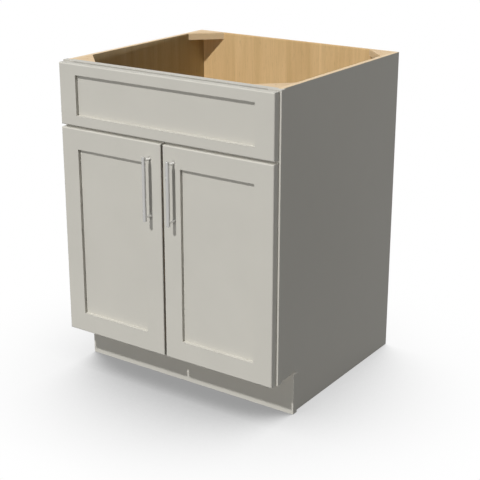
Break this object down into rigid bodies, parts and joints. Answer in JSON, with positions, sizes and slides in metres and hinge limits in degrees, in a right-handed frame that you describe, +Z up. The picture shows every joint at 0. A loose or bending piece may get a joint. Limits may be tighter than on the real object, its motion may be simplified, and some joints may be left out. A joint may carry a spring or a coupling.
{
  "type": "sink base cabinet",
  "caption": "Face-frame kitchen sink base cabinet with an open top, a fixed false front and a pair of recessed-panel doors on concealed hinges, each with a bar pull.",
  "frame": {"origin": "on the floor, in the middle of the part's width and of its depth with the pulls included", "axes": "+Z up, +X to the right of a person facing the doors, +Y from the doors to the back"},
  "size_m": [0.6858, 0.663, 0.8763],
  "materials": {
    "cabinet_paint": "satin light warm grey paint on wood",
    "maple_plywood": "clear satin maple veneer plywood",
    "solid_maple": "sanded",
    "brushed_nickel": "brushed bright nickel",
    "hinge_steel": "nickel plated",
    "zinc_screws": "zinc plated",
    "clear_bumper": "soft clear"
  },
  "bodies": {
    "cabinet": {"back_left_corner_brace": "solid_maple", "back_panel": "maple_plywood", "back_right_corner_brace": "solid_maple", "bottom_face_rail": "cabinet_paint", "false_front_bottom_rail": "cabinet_paint", "false_front_left_stile": "cabinet_paint", "false_front_panel": "cabinet_paint", "false_front_right_stile": "cabinet_paint", "false_front_screws": "zinc_screws", "false_front_spacers": "clear_bumper", "false_front_top_rail": "cabinet_paint", "floor_panel": "maple_plywood", "front_left_corner_brace": "solid_maple", "front_right_corner_brace": "solid_maple", "left_face_stile": "cabinet_paint", "left_hinge_arm_pins": "hinge_steel", "left_hinge_arm_screws": "zinc_screws", "left_hinge_arms": "hinge_steel", "left_side_panel": "maple_plywood", "middle_face_rail": "cabinet_paint", "right_face_stile": "cabinet_paint", "right_hinge_arm_pins": "hinge_steel", "right_hinge_arm_screws": "zinc_screws", "right_hinge_arms": "hinge_steel", "right_side_panel": "maple_plywood", "toe_kick_board": "cabinet_paint", "toe_kick_support": "maple_plywood", "top_face_rail": "cabinet_paint"},
    "left_door": {"left_door_hinge_stile": "cabinet_paint", "left_door_latch_stile": "cabinet_paint", "left_door_top_rail": "cabinet_paint", "left_door_bottom_rail": "cabinet_paint", "left_door_panel": "cabinet_paint", "left_door_bumpers": "clear_bumper", "left_pull_bar": "brushed_nickel", "left_pull_posts": "brushed_nickel", "left_pull_screws": "zinc_screws", "left_hinge_cups": "hinge_steel", "left_hinge_cup_pins": "hinge_steel", "left_hinge_cup_screws": "zinc_screws"},
    "left_outer_links": {"left_hinge_outer_links": "hinge_steel"},
    "left_inner_links": {"left_hinge_inner_links": "hinge_steel"},
    "right_door": {"right_door_hinge_stile": "cabinet_paint", "right_door_latch_stile": "cabinet_paint", "right_door_top_rail": "cabinet_paint", "right_door_bottom_rail": "cabinet_paint", "right_door_panel": "cabinet_paint", "right_door_bumpers": "clear_bumper", "right_pull_bar": "brushed_nickel", "right_pull_posts": "brushed_nickel", "right_pull_screws": "zinc_screws", "right_hinge_cups": "hinge_steel", "right_hinge_cup_pins": "hinge_steel", "right_hinge_cup_screws": "zinc_screws"},
    "right_outer_links": {"right_hinge_outer_links": "hinge_steel"},
    "right_inner_links": {"right_hinge_inner_links": "hinge_steel"}
  },
  "joints": [
    {"name": "left_outer_link_pivot", "type": "hinge", "parent": "cabinet", "child": "left_outer_links", "pos_m": [-0.30105, -0.2631, 0.4072], "axis": [0, 0, 1], "range_deg": [0, 32.3]},
    {"name": "left_door_swing", "type": "hinge", "parent": "left_outer_links", "child": "left_door", "pos_m": [-0.3274, -0.2838, 0.4072], "axis": [0, 0, -1], "range_deg": [0, 132.3]},
    {"name": "left_inner_link_pivot", "type": "hinge", "parent": "cabinet", "child": "left_inner_links", "pos_m": [-0.2904, -0.2722, 0.4072], "axis": [0, 0, 1], "range_deg": [0, 20]},
    {"name": "right_outer_link_pivot", "type": "hinge", "parent": "cabinet", "child": "right_outer_links", "pos_m": [0.30105, -0.2631, 0.4072], "axis": [0, 0, -1], "range_deg": [0, 32.3]},
    {"name": "right_door_swing", "type": "hinge", "parent": "right_outer_links", "child": "right_door", "pos_m": [0.3274, -0.2838, 0.4072], "axis": [0, 0, 1], "range_deg": [0, 132.3]},
    {"name": "right_inner_link_pivot", "type": "hinge", "parent": "cabinet", "child": "right_inner_links", "pos_m": [0.2904, -0.2722, 0.4072], "axis": [0, 0, -1], "range_deg": [0, 20]}
  ],
  "couplings": [
    {"joint": "left_outer_link_pivot", "follows": "left_door_swing", "ratio": 0.24414},
    {"joint": "left_inner_link_pivot", "follows": "left_door_swing", "ratio": 0.15117},
    {"joint": "right_outer_link_pivot", "follows": "right_door_swing", "ratio": 0.24414},
    {"joint": "right_inner_link_pivot", "follows": "right_door_swing", "ratio": 0.15117}
  ]
}
